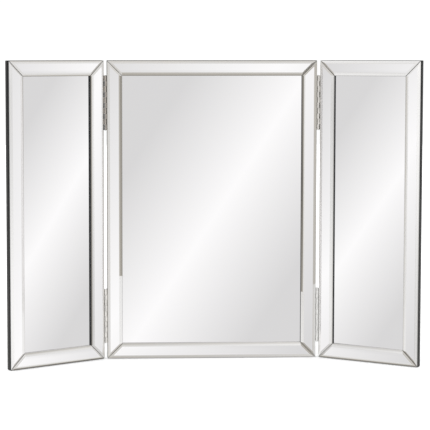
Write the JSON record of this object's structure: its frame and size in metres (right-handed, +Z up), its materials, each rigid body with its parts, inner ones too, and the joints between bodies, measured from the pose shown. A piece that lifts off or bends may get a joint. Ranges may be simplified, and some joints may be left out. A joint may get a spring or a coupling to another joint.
{
  "type": "trifold tabletop mirror",
  "caption": "Tri-fold dressing-table mirror: a centre panel and two hinged wings, each a flat mirror in a border of bevelled, mitred mirror strips on a black board.",
  "frame": {"origin": "middle of the centre panel's backing board, at its bottom face, on the surface that the mirror stands on", "axes": "+Z up, +X to the right as the viewer sees the mirrors, -Y towards the viewer"},
  "size_m": [0.7178, 0.1073, 0.5334],
  "materials": {
    "board_paint": "satin black paint on fibreboard",
    "adhesive": "matte mirror mounting adhesive",
    "mirror_plate": "silvered float glass, flat, with a fine arris",
    "mirror_strip": "silvered glass, bevelled on all sides and mitred",
    "hinge_nickel": "satin nickel plating",
    "pin_steel": "plain drawn steel",
    "screw_steel": "zinc plated"
  },
  "bodies": {
    "centre_panel": {"centre_backing_board": "board_paint", "centre_rim_adhesive": "adhesive", "centre_plate_adhesive": "adhesive", "centre_mirror_plate": "mirror_plate", "centre_strip_bottom": "mirror_strip", "centre_strip_left": "mirror_strip", "centre_strip_top": "mirror_strip", "centre_strip_right": "mirror_strip", "left_upper_hinge_fixed_leaf": "hinge_nickel", "left_upper_hinge_fixed_screw_1": "screw_steel", "left_upper_hinge_fixed_screw_2": "screw_steel", "left_upper_hinge_fixed_screw_3": "screw_steel", "left_upper_hinge_pin": "pin_steel", "left_lower_hinge_fixed_leaf": "hinge_nickel", "left_lower_hinge_fixed_screw_1": "screw_steel", "left_lower_hinge_fixed_screw_2": "screw_steel", "left_lower_hinge_fixed_screw_3": "screw_steel", "left_lower_hinge_pin": "pin_steel", "right_upper_hinge_fixed_leaf": "hinge_nickel", "right_upper_hinge_fixed_screw_1": "screw_steel", "right_upper_hinge_fixed_screw_2": "screw_steel", "right_upper_hinge_fixed_screw_3": "screw_steel", "right_upper_hinge_pin": "pin_steel", "right_lower_hinge_fixed_leaf": "hinge_nickel", "right_lower_hinge_fixed_screw_1": "screw_steel", "right_lower_hinge_fixed_screw_2": "screw_steel", "right_lower_hinge_fixed_screw_3": "screw_steel", "right_lower_hinge_pin": "pin_steel"},
    "left_wing": {"left_wing_backing_board": "board_paint", "left_wing_rim_adhesive": "adhesive", "left_wing_plate_adhesive": "adhesive", "left_wing_mirror_plate": "mirror_plate", "left_wing_strip_bottom": "mirror_strip", "left_wing_strip_left": "mirror_strip", "left_wing_strip_top": "mirror_strip", "left_wing_strip_right": "mirror_strip", "left_upper_hinge_moving_leaf": "hinge_nickel", "left_upper_hinge_moving_screw_1": "screw_steel", "left_upper_hinge_moving_screw_2": "screw_steel", "left_upper_hinge_moving_screw_3": "screw_steel", "left_lower_hinge_moving_leaf": "hinge_nickel", "left_lower_hinge_moving_screw_1": "screw_steel", "left_lower_hinge_moving_screw_2": "screw_steel", "left_lower_hinge_moving_screw_3": "screw_steel"},
    "right_wing": {"right_wing_backing_board": "board_paint", "right_wing_rim_adhesive": "adhesive", "right_wing_plate_adhesive": "adhesive", "right_wing_mirror_plate": "mirror_plate", "right_wing_strip_bottom": "mirror_strip", "right_wing_strip_left": "mirror_strip", "right_wing_strip_top": "mirror_strip", "right_wing_strip_right": "mirror_strip", "right_upper_hinge_moving_leaf": "hinge_nickel", "right_upper_hinge_moving_screw_1": "screw_steel", "right_upper_hinge_moving_screw_2": "screw_steel", "right_upper_hinge_moving_screw_3": "screw_steel", "right_lower_hinge_moving_leaf": "hinge_nickel", "right_lower_hinge_moving_screw_1": "screw_steel", "right_lower_hinge_moving_screw_2": "screw_steel", "right_lower_hinge_moving_screw_3": "screw_steel"}
  },
  "joints": [
    {"name": "left_wing_fold", "type": "hinge", "parent": "centre_panel", "child": "left_wing", "pos_m": [-0.1894, -0.0094, 0], "axis": [0, 0, 1], "range_deg": [-30, 120]},
    {"name": "right_wing_fold", "type": "hinge", "parent": "centre_panel", "child": "right_wing", "pos_m": [0.1894, -0.0094, 0], "axis": [0, 0, -1], "range_deg": [-30, 120]}
  ]
}
